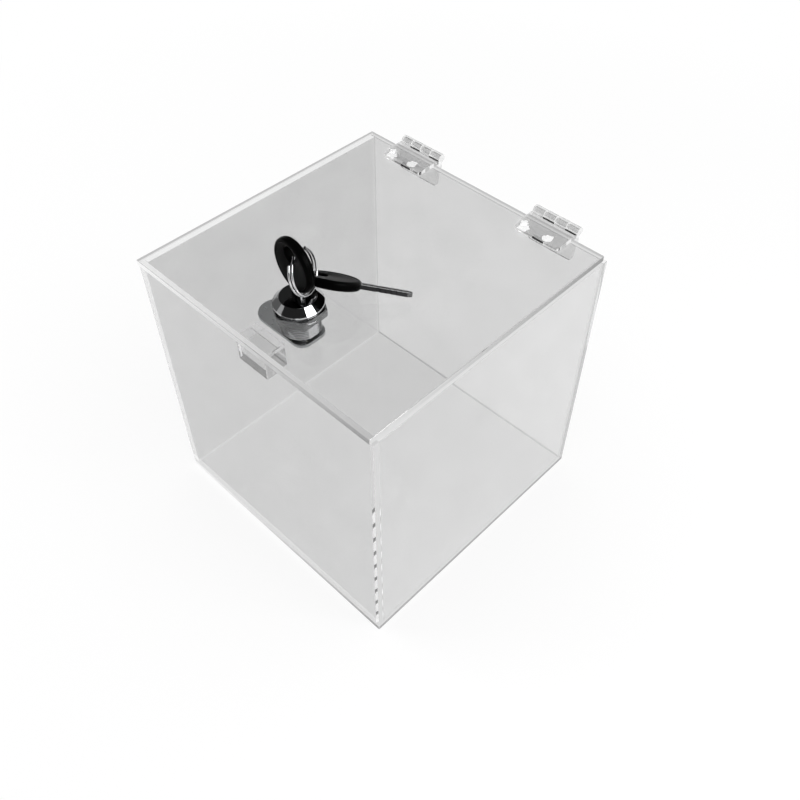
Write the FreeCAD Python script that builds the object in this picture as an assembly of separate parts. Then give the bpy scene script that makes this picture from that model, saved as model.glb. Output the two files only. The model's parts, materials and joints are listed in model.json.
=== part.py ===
import FreeCAD
import Part
import math
import os

# Clear acrylic box with a hinged lid, a cam lock in the lid and two keys on a split ring.
# Millimetres, +Z up, +Y towards the hinges, origin at the centre of the underside.

V = FreeCAD.Vector

# Box of flat sheet
box_width = 150.0
box_depth = 150.0
box_height = 150.0
sheet = 3.0
edge_break = 0.2
cement_gap = 0.05
lid_gap = 0.2
lid_overhang_left = 0.3
lid_inset_right = 1.2
lid_overhang_front = 0.6
lid_inset_back = 1.7

# Hinges: two moulded leaves of one shape on a pin
hinge_length = 26.0
hinge_from_left = 33.0
hinge_from_right = 31.0
leaf_reach = 16.6
leaf_thickness = 2.2
leaf_corner_radius = 2.0
leaf_bevel_length = 4.0
leaf_edge_thickness = 1.2
barrel_radius = 2.2
knuckle_pairs = 2
knuckle_gap = 0.3
notch_clearance = 0.4
pin_radius = 0.9
pin_clearance = 0.05
pin_recess = 0.2

# Lock housing and nut
lock_x = -2.0
lock_from_front = 31.65
bezel_radius = 11.3
bezel_rim = 0.7
bezel_top_radius = 8.3
bezel_height = 3.6
bezel_top_round = 0.3
body_radius = 9.0
body_half_flat = 8.3
thread_pitch = 1.0
thread_depth = 0.5
body_hole_clearance = 0.2
seat_gap = 0.05
nut_flats = 22.0
nut_thickness = 4.0
nut_turn = 31.0
nut_corner_break = 0.8
nut_clearance = 0.1

# Plug with its cam, washer and screw
plug_radius = 6.25
plug_clearance = 0.05
plug_flange_radius = 7.7
plug_flange_height = 1.5
tail_across = 7.0
tail_clearance = 0.05
tail_short = 0.1
cam_gap = 1.3
cam_thickness = 1.6
cam_width = 16.8
cam_reach = 25.4
cam_heel = 9.2
cam_heel_radius = 5.0
cam_edge_round = 0.3
washer_radius = 5.5
washer_thickness = 0.8
screw_radius = 2.0
screw_clearance = 0.05
screw_end_wall = 0.5
screw_head_radius = 4.0
screw_head_height = 2.2
screw_head_round = 0.7
screw_slot_width = 1.0
screw_slot_depth = 1.1

# Keys
blade_width = 7.0
blade_thickness = 1.8
blade_length = 21.7
blade_tip = 2.2
blade_groove_width = 2.2
blade_groove_depth = 0.45
keyway_clearance = 0.1
keyway_end_gap = 1.4
keyway_end_wall = 0.8
key_stand_off = 4.0
key_turn = -5.9
tang_length = 9.0
mould_gap = 0.02
head_diameter = 25.2
head_thickness = 4.2
head_round = 1.8
head_hole_radius = 3.9
head_hole_round = 0.5
head_hole_from_top = 6.5
cut_count = 4
cut_pitch = 2.4
first_cut = 7.0
cut_floor = 0.9
cut_slope = 0.5
cut_depths = (0.9, 0.5, 0.75, 0.4)

# Wafers and their springs inside the plug
wafer_thickness = 0.9
wafer_width = 5.0
wafer_lock_end = 5.55
wafer_free_end = 5.3
wafer_clearance = 0.1
wafer_travel = 0.8
wafer_window_gap = 0.2
groove_clearance = 0.3
ear_start = 0.0
ear_length = 0.8
ear_reach = 1.5
spring_radius = 0.45
spring_bore = 0.25
spring_length = 2.8
spring_gap = 0.1

# Split ring of two turns
ring_radius = 9.9
ring_wire = 1.1
ring_turn_gap = 0.45
ring_cross_angle = 60.0
ring_cross_at = 90.0
ring_end_angle = 10.0
ring_arcs = 3
ring_gap_points = 360
ring_gap_skip = 4
ring_heading = 24.8
ring_lean = 15.6
ring_hang = 6.7
ring_first_key_offset = 0.58
ring_second_key_at = -52.2
ring_second_key_offset = 0.4
ring_second_key_push = 1.55

# Second key, lying on the lid
second_key_heading = 40.5
key_rest_gap = 0.3
settle_steps = 12

# Catch under the lid's front edge
catch_x = 2.0
catch_length = 18.4
catch_depth = 9.0
catch_height = 12.2
catch_top_gap = 0.5

# Places that follow from the sizes above
half_width = box_width / 2
half_depth = box_depth / 2
wall_foot = sheet + cement_gap
wall_top = box_height - sheet - lid_gap
lid_underside = box_height - sheet
hinge_y = half_depth + cement_gap + leaf_thickness
hinge_z = box_height + cement_gap + leaf_thickness
lock_axis = V(lock_x, lock_from_front - half_depth, box_height)
key_foot = bezel_height + key_stand_off
keyway_foot = key_foot - blade_length - keyway_end_gap
body_foot = keyway_foot - keyway_end_wall
cam_foot = body_foot - cam_gap - cam_thickness
tail_foot = cam_foot + tail_short
screw_top = keyway_foot - screw_end_wall
hole_to_foot = head_diameter - head_hole_from_top
key_side = V(math.cos(math.radians(key_turn)), math.sin(math.radians(key_turn)), 0)
ring_pitch = ring_wire + ring_turn_gap


def block(x0, x1, y0, y1, z0, z1):
    return Part.makeBox(x1 - x0, y1 - y0, z1 - z0, V(x0, y0, z0))


def rod(radius, z0, z1):
    return Part.makeCylinder(radius, z1 - z0, V(0, 0, z0))


def rod_x(radius, x0, x1, y=0.0, z=0.0):
    return Part.makeCylinder(radius, x1 - x0, V(x0, y, z), V(1, 0, 0))


def prism(points, direction):
    return Part.Face(Part.makePolygon(points + points[:1])).extrude(direction)


def sheet_panel(x0, x1, y0, y1, z0, z1):
    panel = block(x0, x1, y0, y1, z0, z1)
    return panel.makeChamfer(edge_break, panel.Edges)


def placed(shape, origin, x_axis, y_axis):
    z_axis = x_axis.cross(y_axis)
    matrix = FreeCAD.Matrix(
        x_axis.x, y_axis.x, z_axis.x, origin.x,
        x_axis.y, y_axis.y, z_axis.y, origin.y,
        x_axis.z, y_axis.z, z_axis.z, origin.z,
        0, 0, 0, 1)
    return shape.transformed(matrix, True)


def at_lock(shape):
    moved = shape.copy()
    moved.translate(lock_axis)
    return moved


def with_key(shape):
    moved = shape.copy()
    moved.rotate(V(0, 0, 0), V(0, 0, 1), key_turn)
    return moved


# Box panels: the front and back cover the ends of the sides, and all stand on the base

def base_panel():
    return sheet_panel(-half_width, half_width, -half_depth, half_depth, 0, sheet)


def front_panel():
    return sheet_panel(-half_width, half_width, -half_depth, sheet - half_depth, wall_foot, wall_top)


def back_panel():
    return sheet_panel(-half_width, half_width, half_depth - sheet, half_depth, wall_foot, wall_top)


def side_panel(outer, inner):
    reach = half_depth - sheet - cement_gap
    return sheet_panel(min(outer, inner), max(outer, inner), -reach, reach, wall_foot, wall_top)


def double_d(radius, half_flat, z0, z1):
    flats = block(-half_flat, half_flat, -radius, radius, z0, z1)
    return rod(radius, z0, z1).common(flats)


def lid_panel():
    lid = sheet_panel(-half_width - lid_overhang_left, half_width - lid_inset_right,
                      -half_depth - lid_overhang_front, half_depth - lid_inset_back,
                      lid_underside, box_height)
    hole = double_d(body_radius + body_hole_clearance, body_half_flat + body_hole_clearance,
                    -2 * sheet, sheet)
    return lid.cut(at_lock(hole))


def catch_block():
    back = sheet - half_depth + cement_gap
    top = lid_underside - catch_top_gap
    return sheet_panel(catch_x - catch_length / 2, catch_x + catch_length / 2,
                       back, back + catch_depth, top - catch_height, top)


# Hinges, drawn about the pin's axis

def hinge_leaf():
    half = hinge_length / 2
    knuckle = hinge_length / (2 * knuckle_pairs)
    outline = [V(-half, -leaf_reach, -leaf_thickness), V(-half, 0, -leaf_thickness), V(-half, 0, 0),
               V(-half, leaf_bevel_length - leaf_reach, 0),
               V(-half, -leaf_reach, leaf_edge_thickness - leaf_thickness)]
    leaf = prism(outline, V(hinge_length, 0, 0))
    corners = [edge for edge in leaf.Edges
               if all(abs(v.Y + leaf_reach) < 1e-6 for v in edge.Vertexes)
               and abs(edge.Vertexes[0].X - edge.Vertexes[1].X) < 1e-6]
    leaf = leaf.makeFillet(leaf_corner_radius, corners)
    for pair in range(knuckle_pairs):
        own = -half + 2 * pair * knuckle
        first = own + (knuckle_gap / 2 if pair else 0)
        leaf = leaf.fuse(rod_x(barrel_radius, first, own + knuckle - knuckle_gap / 2))
    step_back = leaf_thickness + notch_clearance
    for pair in range(knuckle_pairs):
        other = -half + (2 * pair + 1) * knuckle
        last = other + knuckle + (knuckle_gap / 2 if pair < knuckle_pairs - 1 else 0)
        leaf = leaf.cut(block(other - knuckle_gap / 2, last, -step_back, barrel_radius,
                              -leaf_thickness, barrel_radius))
    bore = rod_x(pin_radius + pin_clearance, -hinge_length, hinge_length)
    return leaf.cut(bore).removeSplitter()


def lid_leaf(centre_x):
    return placed(hinge_leaf(), V(centre_x, hinge_y, hinge_z), V(1, 0, 0), V(0, 1, 0))


def wall_leaf(centre_x):
    return placed(hinge_leaf(), V(centre_x, hinge_y, hinge_z), V(-1, 0, 0), V(0, 0, 1))


def hinge_pin(centre_x):
    half = hinge_length / 2 - pin_recess
    return rod_x(pin_radius, centre_x - half, centre_x + half, hinge_y, hinge_z)


# Lock, drawn about its axis with the lid's top at zero

def thread_outline():
    points = [V(0, 0, body_foot), V(body_radius - thread_depth, 0, body_foot)]
    turns = int(-body_foot / thread_pitch - 1)
    for turn in range(turns):
        foot = body_foot + turn * thread_pitch
        points.append(V(body_radius, 0, foot + thread_pitch / 2))
        points.append(V(body_radius - thread_depth, 0, foot + thread_pitch))
    points.append(V(body_radius - thread_depth, 0, seat_gap))
    points.append(V(0, 0, seat_gap))
    return points


def revolved(points):
    return Part.Face(Part.makePolygon(points + points[:1])).revolve(V(0, 0, 0), V(0, 0, 1), 360)


def wafer_heights():
    return [key_foot - first_cut - cut_pitch * index for index in range(cut_count)]


def lock_housing():
    body = revolved(thread_outline()).common(
        block(-body_half_flat, body_half_flat, -body_radius, body_radius, body_foot, seat_gap))
    bezel = revolved([V(0, 0, seat_gap), V(bezel_radius, 0, seat_gap), V(bezel_radius, 0, bezel_rim),
                      V(bezel_top_radius, 0, bezel_height), V(0, 0, bezel_height)])
    top_edge = [edge for edge in bezel.Edges
                if edge.Closed and abs(edge.BoundBox.ZMin - bezel_height) < 1e-6]
    housing = body.fuse(bezel.makeFillet(bezel_top_round, top_edge))
    housing = housing.cut(rod(plug_radius + plug_clearance, body_foot, bezel_height))
    flange_floor = bezel_height - plug_flange_height - plug_clearance
    housing = housing.cut(rod(plug_flange_radius + plug_clearance, flange_floor, bezel_height))
    reach = wafer_lock_end + wafer_travel + groove_clearance
    side = wafer_width / 2 + groove_clearance
    heights = wafer_heights()
    low = heights[-1] - wafer_thickness / 2 - groove_clearance
    high = heights[0] + wafer_thickness / 2 + groove_clearance
    housing = housing.cut(with_key(block(-reach, 0, -side, side, low, high)))
    return housing.cut(with_key(block(-side, side, -reach, 0, low, high)))


def hexagon(across, z0, z1, turn):
    corner = across / math.sqrt(3)
    angles = [math.radians(turn + 60 * index) for index in range(6)]
    points = [V(corner * math.cos(angle), corner * math.sin(angle), z0) for angle in angles]
    return prism(points, V(0, 0, z1 - z0))


def lock_nut():
    top = -sheet - seat_gap
    foot = top - nut_thickness
    corner = nut_flats / math.sqrt(3)
    rounded = revolved([V(0, 0, foot), V(corner - nut_corner_break, 0, foot),
                        V(corner, 0, foot + nut_corner_break / 2), V(corner, 0, top - nut_corner_break / 2),
                        V(corner - nut_corner_break, 0, top), V(0, 0, top)])
    nut = hexagon(nut_flats, foot, top, nut_turn).common(rounded)
    return nut.cut(rod(body_radius + nut_clearance, foot, top))


def square(across, z0, z1):
    return block(-across / 2, across / 2, -across / 2, across / 2, z0, z1)


def lock_plug():
    plug = rod(plug_radius, body_foot, bezel_height - plug_flange_height)
    plug = plug.fuse(rod(plug_flange_radius, bezel_height - plug_flange_height, bezel_height))
    half_wide = blade_width / 2 + keyway_clearance
    half_thick = blade_thickness / 2 + keyway_clearance
    plug = plug.cut(block(-half_wide, half_wide, -half_thick, half_thick, keyway_foot, bezel_height))
    slot_half = wafer_thickness / 2 + wafer_clearance
    side = wafer_width / 2 + wafer_clearance
    ear_end = wafer_width / 2 + ear_reach + wafer_clearance
    pocket_start = ear_start - wafer_travel - groove_clearance
    pocket_end = ear_start + ear_length + spring_length + 2 * spring_gap
    for height in wafer_heights():
        low = height - slot_half
        high = height + slot_half
        plug = plug.cut(block(-plug_radius, plug_radius, -side, side, low, high))
        plug = plug.cut(block(pocket_start, pocket_end, 0, ear_end, low, high))
    plug = with_key(plug).fuse(square(tail_across, tail_foot, body_foot))
    screw_hole = rod(screw_radius + screw_clearance, tail_foot, screw_top + screw_clearance)
    return plug.cut(screw_hole).removeSplitter()


def lock_wafers():
    wafers = []
    half = wafer_width / 2
    window_low = -blade_width / 2 - wafer_window_gap
    window_high = blade_width / 2 + wafer_travel + wafer_window_gap
    window_side = blade_thickness / 2 + wafer_window_gap
    for height in wafer_heights():
        low = height - wafer_thickness / 2
        high = height + wafer_thickness / 2
        wafer = block(-wafer_lock_end, wafer_free_end, -half, half, low, high)
        wafer = wafer.fuse(block(ear_start, ear_start + ear_length, 0, half + ear_reach, low, high))
        wafer = wafer.cut(block(window_low, window_high, -window_side, window_side, low, high))
        wafers.append(wafer.removeSplitter())
    return with_key(Part.makeCompound(wafers))


def wafer_springs():
    start = ear_start + ear_length + spring_gap
    middle = wafer_width / 2 + ear_reach / 2
    springs = []
    for height in wafer_heights():
        outer = rod_x(spring_radius, start, start + spring_length, middle, height)
        inner = rod_x(spring_bore, start, start + spring_length, middle, height)
        springs.append(outer.cut(inner))
    return with_key(Part.makeCompound(springs))


def cam():
    top = body_foot - cam_gap
    arm_end = cam_reach - cam_width / 2
    plate = block(-arm_end, cam_heel, -cam_width / 2, cam_width / 2, cam_foot, top)
    corners = [edge for edge in plate.Edges if all(abs(v.X - cam_heel) < 1e-6 for v in edge.Vertexes)
               and abs(edge.Vertexes[0].Z - edge.Vertexes[1].Z) > 1e-6]
    plate = plate.makeFillet(cam_heel_radius, corners)
    tip = rod(cam_width / 2, cam_foot, top)
    tip.translate(V(-arm_end, 0, 0))
    plate = plate.fuse(tip).removeSplitter()
    rims = [edge for face in plate.Faces if abs(face.normalAt(0, 0).z) > 0.99 for edge in face.Edges]
    plate = plate.makeFillet(cam_edge_round, rims)
    return plate.cut(square(tail_across + 2 * tail_clearance, cam_foot, top))


def cam_washer():
    top = cam_foot - seat_gap
    washer = rod(washer_radius, top - washer_thickness, top)
    return washer.cut(rod(screw_radius + screw_clearance, top - washer_thickness, top))


def cam_screw():
    seat = cam_foot - washer_thickness - 2 * seat_gap
    foot = seat - screw_head_height
    head = rod(screw_head_radius, foot, seat)
    rims = [edge for edge in head.Edges if edge.Closed and abs(edge.BoundBox.ZMax - foot) < 1e-6]
    head = head.makeFillet(screw_head_round, rims)
    slot = block(-screw_head_radius, screw_head_radius, -screw_slot_width / 2, screw_slot_width / 2,
                 foot, foot + screw_slot_depth)
    return head.cut(slot).fuse(rod(screw_radius, seat, screw_top)).removeSplitter()


# Keys, drawn flat about the ring hole: +X to the tip, +Y across, +Z through the thickness

def key_blade():
    half = blade_width / 2
    tip = hole_to_foot + blade_length
    start = hole_to_foot - tang_length
    outline = [V(start, -half, 0), V(start, half, 0)]
    upper = []
    for index in range(cut_count):
        middle = hole_to_foot + first_cut + cut_pitch * index
        depth = cut_depths[index]
        slope = depth * cut_slope
        upper.append((middle - cut_floor / 2 - slope, half))
        upper.append((middle - cut_floor / 2, half - depth))
        upper.append((middle + cut_floor / 2, half - depth))
        upper.append((middle + cut_floor / 2 + slope, half))
    outline += [V(x, y, 0) for x, y in upper]
    outline += [V(tip - blade_tip, half, 0), V(tip, half - blade_tip, 0), V(tip, blade_tip - half, 0)]
    outline += [V(tip - blade_tip, -half, 0)]
    outline += [V(x, -y, 0) for x, y in reversed(upper)]
    blade = prism(outline, V(0, 0, blade_thickness))
    blade.translate(V(0, 0, -blade_thickness / 2))
    for low in (-blade_thickness / 2, blade_thickness / 2 - blade_groove_depth):
        blade = blade.cut(block(hole_to_foot, tip, -blade_groove_width / 2, blade_groove_width / 2,
                                low, low + blade_groove_depth))
    return blade


def key_head():
    middle = head_diameter / 2 - head_hole_from_top
    head = rod(head_diameter / 2, -head_thickness / 2, head_thickness / 2)
    head.translate(V(middle, 0, 0))
    head = head.makeFillet(head_round, [edge for edge in head.Edges if edge.Closed])
    head = head.cut(rod(head_hole_radius, -head_thickness, head_thickness))
    rims = [edge for edge in head.Edges
            if edge.Closed and isinstance(edge.Curve, Part.Circle)
            and abs(edge.Curve.Radius - head_hole_radius) < 1e-6]
    head = head.makeFillet(head_hole_round, rims)
    half_wide = blade_width / 2 + mould_gap
    half_thick = blade_thickness / 2 + mould_gap
    pocket = block(hole_to_foot - tang_length - mould_gap, hole_to_foot + head_round,
                   -half_wide, half_wide, -half_thick, half_thick)
    return head.cut(pocket)


def in_lock(shape):
    hole = lock_axis + V(0, 0, key_foot + hole_to_foot)
    return placed(shape, hole, V(0, 0, -1), key_side)


# Split ring: it hangs in the first key's hole and carries the second key

def ring_frame():
    heading = math.radians(ring_heading)
    lean = math.radians(ring_lean)
    hang = math.radians(ring_hang)
    across = V(-math.sin(heading), math.cos(heading), 0)
    normal = V(math.cos(lean) * math.cos(heading), math.cos(lean) * math.sin(heading), math.sin(lean))
    rise = normal.cross(across)
    held = lock_axis + key_side * ring_first_key_offset + V(0, 0, key_foot + hole_to_foot)
    centre = held + (across * math.sin(hang) - rise * math.cos(hang)) * ring_radius
    return centre, across, rise, normal


def arc_through(start, direction, end):
    chord = end - start
    along = V(chord).normalize()
    sideways = direction - along * direction.dot(along)
    bend = direction.getAngle(chord)
    middle = (start + end) * 0.5
    if sideways.Length > 1e-9:
        middle += sideways.normalize() * (chord.Length / 2 * math.tan(bend / 2))
    return Part.Arc(start, middle, end).toShape()


def biarc(start, start_way, end, end_way):
    chord = end - start
    ways = start_way + end_way
    spread = 2 * (1 - start_way.dot(end_way))
    pull = chord.dot(ways)
    reach = (math.sqrt(pull * pull + spread * chord.dot(chord)) - pull) / spread
    joint = (start + start_way * reach + end - end_way * reach) * 0.5
    first = arc_through(start, start_way, joint)
    second = arc_through(end, end_way * -1, joint)
    return [first, second]


def key_ring():
    centre, across, rise, normal = ring_frame()

    def spot(degrees, lane):
        angle = math.radians(degrees)
        return centre + (across * math.cos(angle) + rise * math.sin(angle)) * ring_radius + normal * lane

    def way(degrees):
        angle = math.radians(degrees)
        return rise * math.cos(angle) - across * math.sin(angle)

    low = -ring_pitch / 2
    high = ring_pitch / 2
    cross_start = ring_cross_at - ring_cross_angle / 2
    cross_end = ring_cross_at + ring_cross_angle / 2
    first = cross_end - 360 + ring_end_angle
    last = cross_start + 360 - ring_end_angle

    def turn(start, end, lane):
        step = (end - start) / ring_arcs
        return [Part.Arc(*(spot(start + step * (index + part), lane) for part in (0, 0.5, 1))).toShape()
                for index in range(ring_arcs)]

    crossing = biarc(spot(cross_start, low), way(cross_start), spot(cross_end, high), way(cross_end))
    path = turn(first, cross_start, low) + crossing + turn(cross_end, last, high)
    wire = Part.Wire(Part.__sortEdges__(path))
    section = Part.Wire(Part.makeCircle(ring_wire / 2, spot(first, low), way(first)))
    print_ring_gap(wire)
    return wire.makePipeShell([section], True, False)


def print_ring_gap(wire):
    points = wire.discretize(Number=ring_gap_points)
    step = wire.Length / (ring_gap_points - 1)
    apart = int(ring_gap_skip * ring_wire / step)
    least = min((points[i] - points[j]).Length
                for i in range(ring_gap_points) for j in range(i + apart, ring_gap_points))
    print("key ring: least gap between turns %.2f mm" % (least - ring_wire))


# Second key: the ring bears on the low side of its hole, its tip and head rim just clear of the lid

def second_key_frame():
    centre, across, rise, normal = ring_frame()
    angle = math.radians(ring_second_key_at)
    held = centre + (across * math.cos(angle) + rise * math.sin(angle)) * ring_radius
    tip_half = blade_width / 2 - blade_tip
    reach = hole_to_foot + blade_length
    heading = math.radians(second_key_heading)
    head_middle = head_diameter / 2 - head_hole_from_top
    head_core = head_diameter / 2 - head_round
    roll = 0.0
    pitch = 0.0
    for _ in range(settle_steps):
        hole_height = held.z - box_height + ring_second_key_offset * math.sin(roll) * math.cos(pitch)
        hole_height -= ring_second_key_push * math.sin(pitch)
        flat_low = blade_thickness / 2 * math.cos(roll) + key_rest_gap
        tip_room = hole_height - tip_half * math.sin(roll) - flat_low
        side_room = hole_height - blade_width / 2 * math.sin(roll) - flat_low
        pitch = min(math.asin(tip_room / reach), math.asin(side_room / (reach - blade_tip)))
        middle_height = hole_height - head_middle * math.sin(pitch) - key_rest_gap
        flat = head_thickness / 2 - head_round
        end_drop = head_core * math.sin(pitch)
        room = middle_height - head_round - flat * math.cos(roll)
        rim = math.sqrt(max(room * room - end_drop * end_drop, 0.0))
        roll = math.asin(min(rim / (head_core * math.cos(pitch)), 1.0))
    along = V(math.cos(heading) * math.cos(pitch), math.sin(heading) * math.cos(pitch), -math.sin(pitch))
    level = V(-math.sin(heading), math.cos(heading), 0)
    across_key = level * math.cos(roll) + level.cross(along) * math.sin(roll)
    hole = held - across_key * ring_second_key_offset + along * ring_second_key_push
    return hole, along, across_key


def on_lid(shape):
    hole, along, across_key = second_key_frame()
    return placed(shape, hole, along, across_key)


def save(name, shape):
    shape.exportStep(os.path.join("parts", name + ".step"))


def main():
    os.makedirs("parts", exist_ok=True)
    save("base_panel", base_panel())
    save("front_panel", front_panel())
    save("back_panel", back_panel())
    save("left_panel", side_panel(-half_width, sheet - half_width))
    save("right_panel", side_panel(half_width, half_width - sheet))
    save("lid_panel", lid_panel())
    save("catch_block", catch_block())
    for name, centre_x in (("left", hinge_from_left - half_width), ("right", half_width - hinge_from_right)):
        save(name + "_hinge_lid_leaf", lid_leaf(centre_x))
        save(name + "_hinge_wall_leaf", wall_leaf(centre_x))
        save(name + "_hinge_pin", hinge_pin(centre_x))
    save("lock_housing", at_lock(lock_housing()))
    save("lock_nut", at_lock(lock_nut()))
    save("lock_plug", at_lock(lock_plug()))
    save("lock_wafers", at_lock(lock_wafers()))
    save("wafer_springs", at_lock(wafer_springs()))
    save("cam", at_lock(cam()))
    save("cam_washer", at_lock(cam_washer()))
    save("cam_screw", at_lock(cam_screw()))
    save("key_1_blade", in_lock(key_blade()))
    save("key_1_head", in_lock(key_head()))
    save("key_ring", key_ring())
    save("key_2_blade", on_lid(key_blade()))
    save("key_2_head", on_lid(key_head()))


main()
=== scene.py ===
import json
import math

import bpy
from bpy.props import FloatProperty, FloatVectorProperty, IntProperty, PointerProperty
from bpy.types import Operator, Panel, PropertyGroup
from mathutils import Matrix, Vector


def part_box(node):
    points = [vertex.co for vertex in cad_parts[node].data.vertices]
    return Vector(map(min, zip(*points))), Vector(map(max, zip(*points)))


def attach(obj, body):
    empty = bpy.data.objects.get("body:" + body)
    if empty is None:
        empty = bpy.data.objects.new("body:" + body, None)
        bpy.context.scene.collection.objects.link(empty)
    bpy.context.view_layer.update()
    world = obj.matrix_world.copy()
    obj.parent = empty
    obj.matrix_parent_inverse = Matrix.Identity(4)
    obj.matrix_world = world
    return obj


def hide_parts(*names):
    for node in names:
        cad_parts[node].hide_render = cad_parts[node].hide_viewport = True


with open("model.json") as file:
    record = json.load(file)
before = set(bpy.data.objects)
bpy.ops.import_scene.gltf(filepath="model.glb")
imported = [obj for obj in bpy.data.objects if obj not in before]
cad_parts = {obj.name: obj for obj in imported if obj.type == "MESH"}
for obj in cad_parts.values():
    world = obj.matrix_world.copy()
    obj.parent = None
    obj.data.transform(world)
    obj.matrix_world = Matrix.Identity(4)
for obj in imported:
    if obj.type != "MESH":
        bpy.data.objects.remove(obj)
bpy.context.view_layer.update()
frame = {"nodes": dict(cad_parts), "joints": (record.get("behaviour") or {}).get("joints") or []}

bl_info = {
    "name": "Clear Donation Box",
    "version": (1, 0, 0),
    "blender": (4, 5, 0),
    "location": "View3D > Sidebar > Donation Box",
    "description": "Finishes, keys, split ring and studio for a clear lockable donation box",
    "category": "Object",
}

MM = 0.001
SKIN = 0.02 * MM  # a mask takes points this close to a face as on it
NEAR = 0.01 * MM  # heights closer than this are one height
BOUNCES = 128
NODES = frame["nodes"]
JOINTS = {joint["name"]: joint for joint in frame["joints"]}

BRASS = "#C9A35A"
SPRING_STEEL = "#9A9B9D"
# Painted shade: the dark matt colour of the hinge notches' walls, where the notches trap light.
NOTCH_SHADE_COLOUR = "#2B2B2B"

HINGE_NODES = ("left_hinge_lid_leaf", "left_hinge_wall_leaf", "left_hinge_pin",
               "right_hinge_lid_leaf", "right_hinge_wall_leaf", "right_hinge_pin")
CHROME_NODES = ("lock_housing", "lock_nut", "lock_plug")
ZINC_NODES = ("cam", "cam_washer", "cam_screw")

# A panel's sides: the axis each is square to, and the end of the panel's box it lies at.
SIDES = {"left": (0, 0), "right": (0, 1), "front": (1, 0), "back": (1, 1), "top": (2, 1)}
# Painted glow on sawn sides that show: its share, and its level from left to right or front to back.
SAWN_EDGE_GLOWS = {
    "front_panel": ((("right",), 0.95, 0.68, 0.68), (("top",), 0.9, 1.05, 0.6)),
    "right_panel": ((("top",), 0.9, 0.75, 0.75),),
    "left_panel": ((("top",), 0.95, 1.1, 1.1),),
    "back_panel": ((("top",), 0.95, 0.9, 0.9),),
    "base_panel": ((("front",), 0.8, 0.95, 0.3), (("right",), 0.8, 0.4, 0.4)),
    "lid_panel": ((("left", "back"), 0.97, 0.6, 0.6), (("front",), 0.85, 1.0, 0.3),
                  (("right",), 0.85, 0.8, 0.3)),
}
# Painted glow's level on cemented faces, by panel; the cement in front of the beads and on the catch is
# clear.
JOINT_GLOW_LEVELS = {"front_panel": 0.0, "catch_block": 0.0, "right_panel": 0.72, "left_panel": 0.95,
                "back_panel": 0.5, "base_panel": 0.7}
CLOUDS = 0.04  # how far a sheet's tint wavers
LAMP_SHARE = 0.95  # of the lamps' light that one face of a sheet lets through
NOTCH_FRONT, NOTCH_BACK = 3.1 * MM, 2.3 * MM  # from the hinge's axis to both sides of a notch's wall
NOTCH_FOOT, NOTCH_TOP = 0.1 * MM, 0.05 * MM  # from above the leaf's foot to below the axis
SQUARE_ON = 0.95  # a normal's least part along an axis on a face square to it
KNUCKLE_GLOW_SHARE, KNUCKLE_GLOW_LEVEL = 0.5, 0.95  # painted light: share and level of the even glow on a knuckle's ends
DARK_STRIP_SHARE, DARK_STRIP_LEVEL = 0.9, 0.12  # painted shade: share and level of the dim glow on a dark strip
# Painted dark strips on the catch, from and to these shares of its height.
DARK_STRIP_SPANS = ((0.02, 0.16), (0.19, 0.31), (0.34, 0.47))

FILM = 0.5  # share of a joint's gap that cement fills
BEAD_WIDTH = 0.94  # share of the joint's width that a bead takes
BEAD_ROUND = 0.25  # of a bead's corners, as a share of its height
BEAD_FOOT = 0.2 * MM  # from the joint's lower end to the lowest bead
VOID_SHARE = 0.8  # of the space between two beads
BAY_SIZE, BAY_DEPTH = 1.6 * MM, 2.2 * MM  # unevenness of a patch's outline
RUN_WIDTH, RUN_HEIGHT = 1.6 * MM, 7.5 * MM  # the run of cement on the catch
RUN_INSET = 1.8 * MM  # its middle from the catch's left end
# Dabs under a hinge's lid leaf: shares of the way along and across it, and the width in millimetres.
HINGE_DABS = ((0.16, 0.2, 5.4), (0.1, 0.46, 3.2), (0.66, 0.3, 4.4))

LIP = 0.2 * MM  # width of a head's lip, and of the slope inside it
HOLE_ROUND = 0.3 * MM
# Round of a head's hole from its face down: shares of the round's radius outwards and downwards.
HOLE_EDGE = ((1, 0), (0.4, 1 / 6), (0.1, 0.5), (0, 1))
HEAD_STEPS, RIM_STEPS = 96, 6  # facets round a head, and across its rounded rim
RING_STEPS = 240  # facets along the ring's wire

THREAD_BUMP = 0.2 * MM  # height of the thread's fine ridges
THREAD_FLATS = 8.75 * MM  # the lock body's two flats lie nearer to its axis than this
THREAD_SHADE = 0.45  # of the plate's brightness, left in the thread
BUBBLE_SHADE = 0.9  # of the cement's brightness, left where it is full of bubbles

STAGE_MIDDLE = (0, 0, 0.1)  # the point that the lamps face, in metres
BACK_RIGHT = (0.7, 0.7, 0.0)  # the way in which mirrors and plastic see the surroundings white
WHITE_FROM = 0.6  # a direction's part along that way from which they are all white
FLOOR_DROP = 0.2 * MM  # keeps the floor clear of the base
FLOOR_WHITE = 0.75  # share of its own white that the floor shows near the box
SHADOW_START, SHADOW_END = 0.15, 0.6  # metres from the middle between which the shadow fades out


def linear(hex_colour):
    """Linear red, green and blue of an sRGB hex colour."""
    channels = [int(hex_colour[i:i + 2], 16) / 255 for i in (1, 3, 5)]
    return [c / 12.92 if c <= 0.04045 else ((c + 0.055) / 1.055) ** 2.4 for c in channels]


def opaque(colour):
    """A colour with full alpha, as a shader socket takes it."""
    return (*colour, 1.0)


def add_node(tree, kind, settings=None, inputs=None):
    """One node with its settings; an input is a plain value or another node's output to link."""
    node = tree.nodes.new(kind)
    for name, value in (settings or {}).items():
        setattr(node, name, value)
    for name, value in (inputs or {}).items():
        if isinstance(value, bpy.types.NodeSocket):
            tree.links.new(value, node.inputs[name])
        else:
            node.inputs[name].default_value = value
    return node


def maths(tree, operation, *values):
    """Result of one Math node on plain values or other nodes' outputs."""
    return add_node(tree, "ShaderNodeMath", {"operation": operation}, dict(enumerate(values))).outputs[0]


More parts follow.
